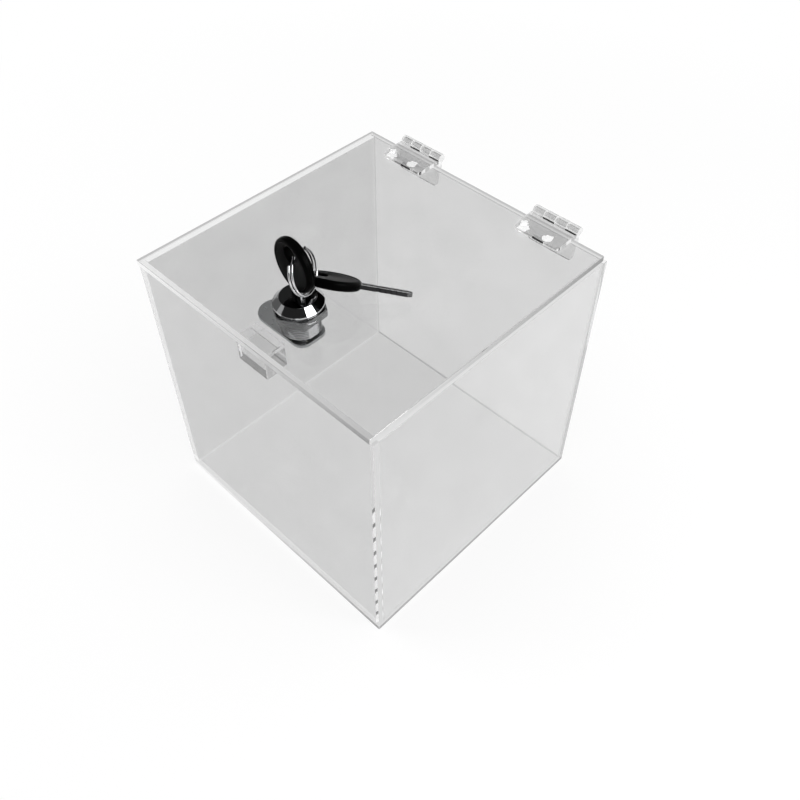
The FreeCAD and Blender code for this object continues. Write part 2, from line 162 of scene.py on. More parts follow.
def vector_maths(tree, operation, *values):
    """One Vector Math node on plain values or other nodes' outputs."""
    return add_node(tree, "ShaderNodeVectorMath", {"operation": operation}, dict(enumerate(values)))


def new_material(name):
    """An empty node material and its output node."""
    material = bpy.data.materials.new(name)
    material.use_nodes = True
    material.node_tree.nodes.clear()
    output = add_node(material.node_tree, "ShaderNodeOutputMaterial")
    return material, material.node_tree, output


def per_metre(millimetres):
    """Noise scale for a pattern whose features are that many millimetres across."""
    return 1.0 / (millimetres * MM)


def dress(names, material):
    """Puts one finish on CAD nodes."""
    for name in names:
        for slot in NODES[name].material_slots:
            slot.material = material


class AcrylicFinish(PropertyGroup):
    sheet_colour: FloatVectorProperty(
        name="Sheet Colour", description="Tint that light takes through one sheet", subtype="COLOR",
        default=linear("#F0F0F0"), min=0, max=1)
    # Painted shade: the right, left and back sheets take darker copies of the one sheet's tint.
    right_shaded_tint: FloatVectorProperty(
        name="Right Sheet Colour", description="Tint of the right sheet", subtype="COLOR",
        default=linear("#EBEBEB"), min=0, max=1)
    left_shaded_tint: FloatVectorProperty(
        name="Left Sheet Colour", description="Tint of the left sheet, which stands in less light",
        subtype="COLOR", default=linear("#DEDEDE"), min=0, max=1)
    back_shaded_tint: FloatVectorProperty(
        name="Back Sheet Colour", description="Tint of the back sheet", subtype="COLOR",
        default=linear("#EDEDED"), min=0, max=1)
    base_colour: FloatVectorProperty(
        name="Base Sheet Colour", description="Tint of the base, which the white floor lights from below",
        subtype="COLOR", default=linear("#F0F0F0"), min=0, max=1)
    hinge_colour: FloatVectorProperty(
        name="Hinge Colour", description="Tint that light takes through a hinge leaf", subtype="COLOR",
        default=linear("#EDEDED"), min=0, max=1)
    index: FloatProperty(
        name="Refractive Index", description="Index of clear acrylic", default=1.49, min=1, max=2)
    # Painted light: the share of the cemented faces that shows an even glow in place of the clear sheet.
    joint_glow_share: FloatProperty(
        name="Cement Haze", description="Share of light that the cemented faces scatter", subtype="FACTOR",
        default=0.75, min=0, max=1)


class CementShape(PropertyGroup):
    colour: FloatVectorProperty(
        name="Cement Colour", description="Milky acrylic cement in the joints", subtype="COLOR",
        default=linear("#F7F7F7"), min=0, max=1)
    # Painted shade: grey with a dim glow in the air voids between the beads, for the dark seen there.
    void_shade_colour: FloatVectorProperty(
        name="Void Colour", description="Grey of the dry voids between the beads", subtype="COLOR",
        default=linear("#9A9A9A"), min=0, max=1)
    bead_height: FloatProperty(
        name="Bead Height", description="Height of one bead of cement", subtype="DISTANCE", unit="LENGTH",
        default=7.5 * MM)
    bead_pitch: FloatProperty(
        name="Bead Pitch", description="Height from one bead to the next", subtype="DISTANCE",
        unit="LENGTH", default=11.0 * MM)
    bead_slant: FloatProperty(
        name="Bead Slant", description="Rise of a bead across the joint", subtype="DISTANCE", unit="LENGTH",
        default=6.5 * MM)
    bead_count: IntProperty(
        name="Beads", description="Beads one above the other", default=9, min=1)


class MetalFinish(PropertyGroup):
    chrome_colour: FloatVectorProperty(
        name="Chrome Colour", description="Bright chrome plate on the lock", subtype="COLOR",
        default=linear("#D9DADB"), min=0, max=1)
    thread_pitch: FloatProperty(
        name="Thread Pitch", description="Rise of the lock body's thread in one turn", subtype="DISTANCE",
        unit="LENGTH", default=1.0 * MM)
    zinc_colour: FloatVectorProperty(
        name="Zinc Colour", description="Dull zinc plate on the cam and its fixings", subtype="COLOR",
        default=linear("#A7A9AA"), min=0, max=1)
    ring_colour: FloatVectorProperty(
        name="Ring Colour", description="Bright nickel plate on the ring", subtype="COLOR",
        default=linear("#D6D6D7"), min=0, max=1)
    # Painted shade: the blades' nickel is darker than the ring's, for the dark that they mirror.
    blade_shade_colour: FloatVectorProperty(
        name="Blade Colour", description="Worn nickel plate on the key blades", subtype="COLOR",
        default=linear("#747475"), min=0, max=1)


class KeyHeadShape(PropertyGroup):
    plastic_colour: FloatVectorProperty(
        name="Plastic Colour", description="Black moulded plastic of the key heads", subtype="COLOR",
        default=linear("#040404"), min=0, max=1)
    hole_radius: FloatProperty(
        name="Hole Radius", description="Radius of the hole for the ring", subtype="DISTANCE",
        unit="LENGTH", default=3.9 * MM)
    hole_from_top: FloatProperty(
        name="Hole From Top", description="Hole's middle to the head's top", subtype="DISTANCE",
        unit="LENGTH", default=6.5 * MM)
    edge_round: FloatProperty(
        name="Edge Round", description="Radius of the moulded edge", subtype="DISTANCE", unit="LENGTH",
        default=1.5 * MM)
    parting_ridge: FloatProperty(
        name="Parting Ridge", description="Height of the mould's parting line", subtype="DISTANCE",
        unit="LENGTH", default=0.1 * MM)
    dish_depth: FloatProperty(
        name="Dish Depth", description="Depth of the dished face below its lip", subtype="DISTANCE",
        unit="LENGTH", default=0.2 * MM)


class RingShape(PropertyGroup):
    wire: FloatProperty(
        name="Wire", description="Diameter of the ring's wire", subtype="DISTANCE", unit="LENGTH",
        default=1.1 * MM)
    turn_gap: FloatProperty(
        name="Turn Gap", description="Clear gap between the two turns", subtype="DISTANCE", unit="LENGTH",
        default=0.45 * MM)
    cross_at: FloatProperty(
        name="Crossing", description="Where the wire crosses from turn to turn", subtype="ANGLE",
        default=math.radians(90))
    cross_angle: FloatProperty(
        name="Crossing Angle", description="Arc over which the wire crosses", subtype="ANGLE",
        default=math.radians(60))
    end_angle: FloatProperty(
        name="End Angle", description="Arc between a wire's end and the crossing", subtype="ANGLE",
        default=math.radians(10))


class StudioSetup(PropertyGroup):
    azimuth: FloatProperty(
        name="Azimuth", description="Camera's turn about the vertical", subtype="ANGLE",
        default=math.radians(43.92))
    elevation: FloatProperty(
        name="Elevation", description="Camera's height above the horizon", subtype="ANGLE",
        default=math.radians(48.49))
    roll: FloatProperty(
        name="Roll", description="Camera's turn about its own axis", subtype="ANGLE",
        default=math.radians(0.21))
    distance: FloatProperty(
        name="Distance", description="Camera to the point it looks at", subtype="DISTANCE", unit="LENGTH",
        default=432.7 * MM)
    target: FloatVectorProperty(
        name="Target", description="Point in the middle of the picture", subtype="TRANSLATION",
        unit="LENGTH", default=(22.0 * MM, -5.6 * MM, 75.0 * MM))
    lens: FloatProperty(
        name="Lens", description="Focal length in millimetres on a 36 mm sensor", default=38.9, min=1)
    floor_colour: FloatVectorProperty(
        name="Floor Colour", description="Pale matt floor", subtype="COLOR",
        default=linear("#F4F4F4"), min=0, max=1)
    floor_radius: FloatProperty(
        name="Floor Radius", description="Radius of the round floor", subtype="DISTANCE", unit="LENGTH",
        default=4.0)


def either(tree, values):
    """The largest of some values: 1 where any mask among them is 1."""
    most = values[0]
    for value in values[1:]:
        most = maths(tree, "MAXIMUM", most, value)
    return most


def inside_box(tree, point, low, high):
    """1 where a point lies in an upright box between two corners."""
    middle = (low + high) / 2
    half = (high - low) / 2
    offset = vector_maths(tree, "SUBTRACT", point, middle).outputs[0]
    apart = vector_maths(tree, "ABSOLUTE", offset).outputs[0]
    beyond = vector_maths(tree, "SUBTRACT", apart, half).outputs[0]
    axes = add_node(tree, "ShaderNodeSeparateXYZ", None, {0: beyond})
    return maths(tree, "LESS_THAN", either(tree, list(axes.outputs)), 0.0)


def minus(tree, whole, part):
    """1 in the first mask where the second is 0."""
    return maths(tree, "GREATER_THAN", whole, part)


def glow(tree, level):
    """Even white emission from a face; on the box it is painted light, standing in for what sawn edges
    scatter of the light that the sheet guides.
    """
    return add_node(tree, "ShaderNodeEmission", None, {"Color": (1, 1, 1, 1), "Strength": level}).outputs[0]


def painted_joint_glow(joint_glow_share, level):
    """Layer of painted light for the faces that cement joins: clear, with an even glow mixed in, on the
    panels and the catch's upper half.
    """
    def layer(tree, point):
        skin = Vector((SKIN,) * 3)
        base, wall, side = (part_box(name) for name in ("base_panel", "front_panel", "right_panel"))
        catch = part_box("catch_block")
        outer = inside_box(tree, point, base[0] + skin, Vector((base[1].x, base[1].y, wall[1].z)) - skin)
        room = Vector((side[0].x, -wall[1].y, 1.0))
        hollow = inside_box(tree, point, Vector((-room.x, -room.y, base[1].z)) - skin, room + skin)
        pad_low = Vector((catch[0].x, wall[1].y - SKIN / 2, (catch[0].z + catch[1].z) / 2))
        pad_high = Vector((catch[1].x, catch[0].y + SKIN / 2, catch[1].z))
        mask = either(tree, [minus(tree, outer, hollow), inside_box(tree, point, pad_low, pad_high)])
        joined = add_node(tree, "ShaderNodeBsdfTransparent", None, {"Color": (1, 1, 1, 1)})
        cement = add_node(tree, "ShaderNodeMixShader", None, {
            0: joint_glow_share, 1: joined.outputs[0], 2: glow(tree, level)})
        return mask, cement.outputs[0]
    return layer


def painted_edge_glow(node, sides, share, start_level, end_level):
    """Layer of painted light for sawn sides of a panel: a share of each glows evenly, for the light that
    the sheet guides to them.
    """
    def layer(tree, point):
        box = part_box(node)
        skin = Vector((SKIN,) * 3)
        slabs = []
        for axis, end in (SIDES[side] for side in sides):
            low, high = box[0].copy(), box[1].copy()
            low[axis] = high[axis] = box[end][axis]
            slabs.append(inside_box(tree, point, low - skin, high + skin))
        level = start_level
        if end_level != start_level:
            run = 1 if sides[0] in ("left", "right") else 0
            along = add_node(tree, "ShaderNodeSeparateXYZ", None, {0: point}).outputs[run]
            level = add_node(tree, "ShaderNodeMapRange", None, {
                "Value": along, "From Min": box[0][run], "From Max": box[1][run], "To Min": start_level,
                "To Max": end_level}).outputs["Result"]
        return maths(tree, "MULTIPLY", either(tree, slabs), share), glow(tree, level)
    return layer


def painted_notch_shade(tree, point):
    """Walls of the lid leaves' notches, which clear the other knuckles: painted shade, matt and dark where
    the notches trap light.
    """
    axis = JOINTS["lid_open"]["pos_m"]
    slots = []
    for name in ("left_hinge_lid_leaf", "right_hinge_lid_leaf"):
        low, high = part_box(name)
        knuckle = (high.x - low.x) / 4
        for cell in (1, 3):
            first = Vector((low.x + cell * knuckle, axis[1] - NOTCH_FRONT, low.z + NOTCH_FOOT))
            last = Vector((first.x + knuckle, axis[1] - NOTCH_BACK, axis[2] - NOTCH_TOP))
            slots.append(inside_box(tree, point, first, last))
    shade_patch = add_node(tree, "ShaderNodeBsdfDiffuse", None, {"Color": opaque(linear(NOTCH_SHADE_COLOUR))})
    return either(tree, slots), shade_patch.outputs[0]


def painted_dark_strips(tree, point):
    """Painted shade: strips of the catch's lower half glow dim and even, so that they look dark."""
    low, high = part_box("catch_block")
    skin = Vector((0, SKIN, 0))
    strips = []
    for start, end in DARK_STRIP_SPANS:
        first = Vector((low.x, low.y, low.z + start * (high.z - low.z)))
        last = Vector((high.x, low.y, low.z + end * (high.z - low.z)))
        strips.append(inside_box(tree, point, first - skin, last + skin))
    return maths(tree, "MULTIPLY", either(tree, strips), DARK_STRIP_SHARE), glow(tree, DARK_STRIP_LEVEL)


def glowing_knuckle_ends(tree, point):
    """Faces square to the hinge's axis: painted light, an even glow mixed in so that they look lit."""
    shape = add_node(tree, "ShaderNodeNewGeometry")
    along = add_node(tree, "ShaderNodeSeparateXYZ", None, {0: shape.outputs["True Normal"]}).outputs[0]
    ends = maths(tree, "GREATER_THAN", maths(tree, "ABSOLUTE", along), SQUARE_ON)
    return maths(tree, "MULTIPLY", ends, KNUCKLE_GLOW_SHARE), glow(tree, KNUCKLE_GLOW_LEVEL)


def clear_acrylic(name, tint, index, layers):
    """Acrylic, polished: clear as glass with a light grey body and faint clouds, and layers of painted
    light and shade on some faces.

    Light from the lamps goes straight through, so that what stands behind the sheet is lit.
    """
    material, tree, output = new_material(name)
    place = add_node(tree, "ShaderNodeTexCoord").outputs["Object"]
    cloud = add_node(tree, "ShaderNodeTexNoise", None, {
        "Vector": place, "Scale": per_metre(24), "Detail": 2.0})
    body = add_node(tree, "ShaderNodeMix", {"data_type": "RGBA"}, {
        "Factor": cloud.outputs["Fac"], "A": opaque([(1 - CLOUDS) * c for c in tint]),
        "B": opaque([min(1.0, (1 + CLOUDS) * c) for c in tint])})
    surface = add_node(tree, "ShaderNodeBsdfPrincipled", None, {
        "Base Color": body.outputs["Result"], "Transmission Weight": 1.0, "IOR": index, "Roughness": 0.0})
    for layer in layers:
        mask, cover = layer(tree, place)
        surface = add_node(tree, "ShaderNodeMixShader", None, {0: mask, 1: surface.outputs[0], 2: cover})
    path = add_node(tree, "ShaderNodeLightPath")
    lit = add_node(tree, "ShaderNodeBsdfTransparent", None, {"Color": opaque([LAMP_SHARE] * 3)})
    surface = add_node(tree, "ShaderNodeMixShader", None, {
        0: path.outputs["Is Shadow Ray"], 1: surface.outputs[0], 2: lit.outputs[0]})
    tree.links.new(surface.outputs[0], output.inputs["Surface"])
    return material


def glowing_cement(name, colour, strength):
    """Acrylic cement: milky white, patchy with bubbles, with a painted glow that stands for the light the
    sheet guides.
    """
    material, tree, output = new_material(name)
    place = add_node(tree, "ShaderNodeTexCoord")
    bubbles = add_node(tree, "ShaderNodeTexNoise", None, {
        "Vector": place.outputs["Object"], "Scale": per_metre(0.8), "Detail": 2.0})
    body = add_node(tree, "ShaderNodeMix", {"data_type": "RGBA"}, {
        "Factor": bubbles.outputs["Fac"], "A": opaque([BUBBLE_SHADE * c for c in colour]),
        "B": opaque(colour)})
    milk = add_node(tree, "ShaderNodeBsdfPrincipled", None, {
        "Base Color": body.outputs["Result"], "Roughness": 0.6, "Emission Color": body.outputs["Result"],
        "Emission Strength": strength})
    tree.links.new(milk.outputs["BSDF"], output.inputs["Surface"])
    return material


def threaded_chrome(name, colour, thread_pitch):
    """Chromed zinc casting: a bright mirror above the lid, and dull fine threads round the body below."""
    material, tree, output = new_material(name)
    place = add_node(tree, "ShaderNodeTexCoord").outputs["Object"]
    axis = Vector(JOINTS["lock_turn"]["pos_m"])
    offset = vector_maths(tree, "SUBTRACT", place, axis).outputs[0]
    level = vector_maths(tree, "MULTIPLY", offset, (1, 1, 0)).outputs[0]
    reach = vector_maths(tree, "LENGTH", level)
    height = add_node(tree, "ShaderNodeSeparateXYZ", None, {0: place}).outputs[2]
    below = maths(tree, "LESS_THAN", height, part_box("lid_panel")[0].z)
    round_part = maths(tree, "GREATER_THAN", reach.outputs["Value"], THREAD_FLATS)
    cut = maths(tree, "MULTIPLY", below, round_part)
    ridge = maths(tree, "SINE", maths(tree, "MULTIPLY", height, math.tau / thread_pitch))
    bump = add_node(tree, "ShaderNodeBump", None, {
        "Height": maths(tree, "MULTIPLY", ridge, cut), "Strength": 1.0, "Distance": THREAD_BUMP})
    plate = add_node(tree, "ShaderNodeMix", {"data_type": "RGBA"}, {
        "Factor": cut, "A": opaque(colour), "B": opaque([THREAD_SHADE * c for c in colour])})
    noise = add_node(tree, "ShaderNodeTexNoise", None, {
        "Vector": place, "Scale": per_metre(4.0), "Detail": 3.0})
    dull = add_node(tree, "ShaderNodeMapRange", None, {"Value": below, "To Min": 0.06, "To Max": 0.3})
    spread = add_node(tree, "ShaderNodeMapRange", None, {
        "Value": noise.outputs["Fac"], "To Min": 0.02, "To Max": dull.outputs["Result"]})
    shader = add_node(tree, "ShaderNodeBsdfPrincipled", None, {
        "Base Color": plate.outputs["Result"], "Metallic": 1.0, "Roughness": spread.outputs["Result"],
        "Normal": bump.outputs["Normal"]})
    tree.links.new(shader.outputs["BSDF"], output.inputs["Surface"])
    return material


def plated_metal(name, colour, roughness, grain, unevenness):
    """Plated metal: mirror-like under a fine unevenness of the plate, of a grain in millimetres."""
    material, tree, output = new_material(name)
    place = add_node(tree, "ShaderNodeTexCoord")
    noise = add_node(tree, "ShaderNodeTexNoise", None, {
        "Vector": place.outputs["Object"], "Scale": per_metre(grain), "Detail": 3.0})
    spread = add_node(tree, "ShaderNodeMapRange", None, {
        "Value": noise.outputs["Fac"], "To Min": roughness - unevenness, "To Max": roughness + unevenness})
    shader = add_node(tree, "ShaderNodeBsdfPrincipled", None, {
        "Base Color": opaque(colour), "Metallic": 1.0, "Roughness": spread.outputs["Result"]})
    tree.links.new(shader.outputs["BSDF"], output.inputs["Surface"])
    return material


def black_plastic(name, colour):
    """Moulded black plastic: semi-gloss, with a fine moulded grain."""
    material, tree, output = new_material(name)
    place = add_node(tree, "ShaderNodeTexCoord")
    noise = add_node(tree, "ShaderNodeTexNoise", None, {
        "Vector": place.outputs["Object"], "Scale": per_metre(0.6), "Detail": 2.0})
    bump = add_node(tree, "ShaderNodeBump", None, {
        "Height": noise.outputs["Fac"], "Strength": 0.1, "Distance": 0.05 * MM})
    shader = add_node(tree, "ShaderNodeBsdfPrincipled", None, {
        "Base Color": opaque(colour), "Roughness": 0.3, "Specular IOR Level": 0.018,
        "Normal": bump.outputs["Normal"]})
    tree.links.new(shader.outputs["BSDF"], output.inputs["Surface"])
    return material


class DONATIONBOX_OT_dress_acrylic(Operator):
    """Give the sheet panels, the catch and the hinges their clear finish"""
    bl_idname = "donation_box.dress_acrylic"
    bl_label = "Dress Clear Acrylic"

    def execute(self, context):
        finish = context.scene.donation_box_acrylic
        # Painted shade: the right, left and back sheets take darker tints than the others.
        tints = {"front_panel": finish.sheet_colour, "right_panel": finish.right_shaded_tint,
                 "left_panel": finish.left_shaded_tint, "back_panel": finish.back_shaded_tint,
                 "base_panel": finish.base_colour, "lid_panel": finish.sheet_colour,
                 "catch_block": finish.sheet_colour}
        for name, tint in tints.items():
            layers = [painted_edge_glow(name, *edge) for edge in SAWN_EDGE_GLOWS.get(name, ())]
            if name in JOINT_GLOW_LEVELS:
                level = JOINT_GLOW_LEVELS[name]
                layers.append(painted_joint_glow(finish.joint_glow_share if level else 0.0, level))
            if name == "catch_block":
                layers.append(painted_dark_strips)
            dress((name,), clear_acrylic("cast_acrylic_" + name, tint, finish.index, layers))
        # Painted light and shade on the hinges: an even glow on the knuckles' ends, and dark notch walls.
        layers = [glowing_knuckle_ends, painted_notch_shade]
        dress(HINGE_NODES, clear_acrylic("moulded_acrylic", finish.hinge_colour, finish.index, layers))
        return {"FINISHED"}


def uneven(piece, noise_size, strength):
    """Makes a thin piece's outline uneven, as cement spreads."""
    for axis in ("X", "Z" if piece.dimensions.z > piece.dimensions.y else "Y"):
        spread = piece.modifiers.new("spread", "DISPLACE")
        spread.direction = axis
        clouds = bpy.data.textures.new("spread_" + axis, "CLOUDS")
        clouds.noise_scale = noise_size
        spread.texture = clouds
        spread.texture_coords = "LOCAL"
        spread.strength = strength
        bpy.ops.object.modifier_apply(modifier=spread.name)


def thicken(piece, thickness):
    """Gives a sheet of cement its thickness to both sides."""
    skin = piece.modifiers.new("thickness", "SOLIDIFY")
    skin.thickness = thickness
    skin.offset = 0.0
    bpy.ops.object.modifier_apply(modifier=skin.name)


def dab(context, place, width, height, tilt):
    """One thin patch of cement about a place, spread uneven, turned by an angle about X."""
    bpy.ops.object.select_all(action="DESELECT")
    bpy.ops.mesh.primitive_circle_add(vertices=32, radius=0.5, fill_type="TRIFAN", rotation=(tilt, 0, 0))
    patch = context.object
    patch.scale = (width, height, 1)
    patch.location = place
    bpy.ops.object.transform_apply(location=True, rotation=True, scale=True)
    bpy.ops.object.mode_set(mode="EDIT")
    bpy.ops.mesh.select_all(action="SELECT")
    bpy.ops.mesh.subdivide(number_cuts=3)
    bpy.ops.object.mode_set(mode="OBJECT")
    uneven(patch, BAY_SIZE, BAY_DEPTH)
    return patch


class DONATIONBOX_OT_lay_cement(Operator):
    """Lay the milky cement that shows in the front corner's joint, on the catch and under the hinges"""
    bl_idname = "donation_box.lay_cement"
    bl_label = "Lay Cement"

    def execute(self, context):
        shape = context.scene.donation_box_cement
        cement = glowing_cement("milky_acrylic_cement", shape.colour, strength=0.8)
        # Painted shade: grey with a dim glow in the voids between the beads.
        dry = glowing_cement("painted_void_shade", shape.void_shade_colour, strength=0.35)
        beads = self.corner_row(context, shape, "corner_cement", shape.bead_height, 0)
        void = VOID_SHARE * (shape.bead_pitch - shape.bead_height)
        voids = self.corner_row(context, shape, "corner_voids", void, shape.bead_height)
        self.finish(beads, cement, "box")
        self.finish(voids, dry, "box")
        self.finish(self.catch_run(context), cement, "box")
        left = self.left_patches(context)
        right = self.copy_patches(context)
        for patches in (left, right):
            self.finish(patches, cement, "lid")
        return {"FINISHED"}

    def finish(self, piece, cement, body):
        """Gives a piece its cement and lets it move with a body."""
        piece.data.materials.append(cement)
        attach(piece, body)

    def corner_row(self, context, shape, name, height, lift):
        """A row of slanting beads of one height in the joint of the front and right panels."""
        wall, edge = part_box("front_panel"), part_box("right_panel")
        left, right = edge[0].x, edge[1].x
        gap = edge[0].y - wall[1].y
        if gap <= 0:
            raise RuntimeError("the front corner's joint has no gap for cement")
        bpy.ops.object.select_all(action="DESELECT")
        bpy.ops.mesh.primitive_plane_add(size=1, rotation=(math.radians(90), 0, 0))
        beads = context.object
        beads.name = name
        beads.scale = (BEAD_WIDTH * (right - left), height, 1)
        bpy.ops.object.transform_apply(location=True, rotation=True, scale=True)
        bpy.ops.object.mode_set(mode="EDIT")
        bpy.ops.mesh.select_mode(type="VERT")
        bpy.ops.mesh.select_all(action="DESELECT")
        bpy.ops.object.mode_set(mode="OBJECT")
        for vertex in beads.data.vertices:
            vertex.select = vertex.co.x > 0
        bpy.ops.object.mode_set(mode="EDIT")
        bpy.ops.transform.translate(value=(0, 0, shape.bead_slant))
        bpy.ops.mesh.select_all(action="SELECT")
        bpy.ops.mesh.bevel(offset=BEAD_ROUND * height, segments=3, affect="VERTICES")
        bpy.ops.object.mode_set(mode="OBJECT")
        thicken(beads, FILM * gap)
        row = beads.modifiers.new("row", "ARRAY")
        row.use_relative_offset = False
        row.use_constant_offset = True
        row.constant_offset_displace = (0, 0, shape.bead_pitch)
        row.count = shape.bead_count
        bpy.ops.object.modifier_apply(modifier=row.name)
        lowest = min(vertex.co.z for vertex in beads.data.vertices)
        beads.location = ((left + right) / 2, wall[1].y + gap / 2, edge[0].z + BEAD_FOOT + lift - lowest)
        bpy.ops.object.transform_apply(location=True, rotation=False, scale=False)
        return beads

    def left_patches(self, context):
        """Patches of cement between the lid and the left hinge's lid leaf, spread from three dabs."""
        leaf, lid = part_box("left_hinge_lid_leaf"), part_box("lid_panel")
        gap = leaf[0].z - lid[1].z
        dabs = []
        for along, reach, width in HINGE_DABS:
            place = (leaf[0].x + along * (leaf[1].x - leaf[0].x),
                     leaf[0].y + reach * (lid[1].y - leaf[0].y), lid[1].z + gap / 2)
            patch = dab(context, place, width * MM, width * MM, 0.0)
            thicken(patch, FILM * gap)
            dabs.append(patch)
        bpy.ops.object.select_all(action="DESELECT")
        for patch in dabs:
            patch.select_set(True)
        context.view_layer.objects.active = dabs[0]
        bpy.ops.object.join()
        dabs[0].name = "left_hinge_cement"
        return dabs[0]

    def catch_run(self, context):
        """The run of cement at the left end of the joint of the catch and the front panel."""
        catch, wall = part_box("catch_block"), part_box("front_panel")
        gap = catch[0].y - wall[1].y
        place = (catch[0].x + RUN_INSET, wall[1].y + gap / 2, (catch[0].z + catch[1].z) / 2)
        run = dab(context, place, RUN_WIDTH, RUN_HEIGHT, math.radians(90))
        thicken(run, FILM * gap)
        run.name = "catch_cement"
        return run

    def copy_patches(self, context):
        """A copy of the patches, which are still selected, under the right hinge."""
        bpy.ops.object.duplicate(linked=False)
        copy = context.object
        copy.name = "right_hinge_cement"
        copy.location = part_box("right_hinge_lid_leaf")[0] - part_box("left_hinge_lid_leaf")[0]
        bpy.ops.object.transform_apply(location=True, rotation=False, scale=False)
        return copy


class DONATIONBOX_OT_dress_lock(Operator):
    """Give the lock's pieces their plated finishes"""
    bl_idname = "donation_box.dress_lock"
    bl_label = "Dress Lock"

    def execute(self, context):
        finish = context.scene.donation_box_metal
        dress(CHROME_NODES, threaded_chrome(
            "chromed_zinc_casting", finish.chrome_colour, finish.thread_pitch))
        dress(ZINC_NODES, plated_metal(
            "zinc_plated_steel", finish.zinc_colour, roughness=0.3, grain=1.5, unevenness=0.08))
        dress(("lock_wafers",), plated_metal(
            "stamped_brass", linear(BRASS), roughness=0.28, grain=1.0, unevenness=0.06))
        dress(("wafer_springs",), plated_metal(
            "drawn_spring_steel", linear(SPRING_STEEL), roughness=0.25, grain=0.5, unevenness=0.05))
        return {"FINISHED"}


def between_ends(cloud, axes):
    """Middle of a cloud of points between its ends along each axis, and its reach along each."""
    middle, reaches = Vector(), []
    for axis in axes:
        spots = [point.dot(axis) for point in cloud]
        middle += axis * (min(spots) + max(spots)) / 2
        reaches.append(max(spots) - min(spots))
    return middle, reaches


def key_place(blade, head):
    """Where a key's head lies: axes to the tip, across and through it about its middle, and its reaches."""
    metal = [vertex.co for vertex in NODES[blade].data.vertices]
    plastic = [vertex.co for vertex in NODES[head].data.vertices]
    through = max(NODES[blade].data.polygons, key=lambda face: face.area).normal.copy()
    to_tip = sum(metal, Vector()) / len(metal) - sum(plastic, Vector()) / len(plastic)
    for _ in range(2):
        along = (to_tip - through * to_tip.dot(through)).normalized()
        axes = (along, through.cross(along), through)
        middle, reaches = between_ends(plastic, axes)
        to_tip = between_ends(metal, axes)[0] - middle
    return Matrix.Translation(middle) @ Matrix(axes).transposed().to_4x4(), reaches


def carry_loop(profile):
    """Extrudes the selected round edge loop through the radii and heights of a profile."""
    radius, height = profile[0]
    for next_radius, next_height in profile[1:]:
        bpy.ops.mesh.extrude_edges_move(
            TRANSFORM_OT_translate={"value": (0, 0, next_height - height)})
        ratio = next_radius / radius
        bpy.ops.transform.resize(value=(ratio, ratio, 1))
        radius, height = next_radius, next_height


def select_rims(mesh, height):
    """Selects the open edges that lie at one height, ready to bridge."""
    bpy.ops.mesh.select_mode(type="EDGE")
    bpy.ops.mesh.select_non_manifold(extend=False, use_wire=False, use_boundary=True, use_multi_face=False,
                                     use_non_contiguous=False, use_verts=False)
    bpy.ops.object.mode_set(mode="OBJECT")
    for edge in mesh.edges:
        ends = [mesh.vertices[index].co.z for index in edge.vertices]
        edge.select = edge.select and all(abs(end - height) < NEAR for end in ends)
    bpy.ops.object.mode_set(mode="EDIT")


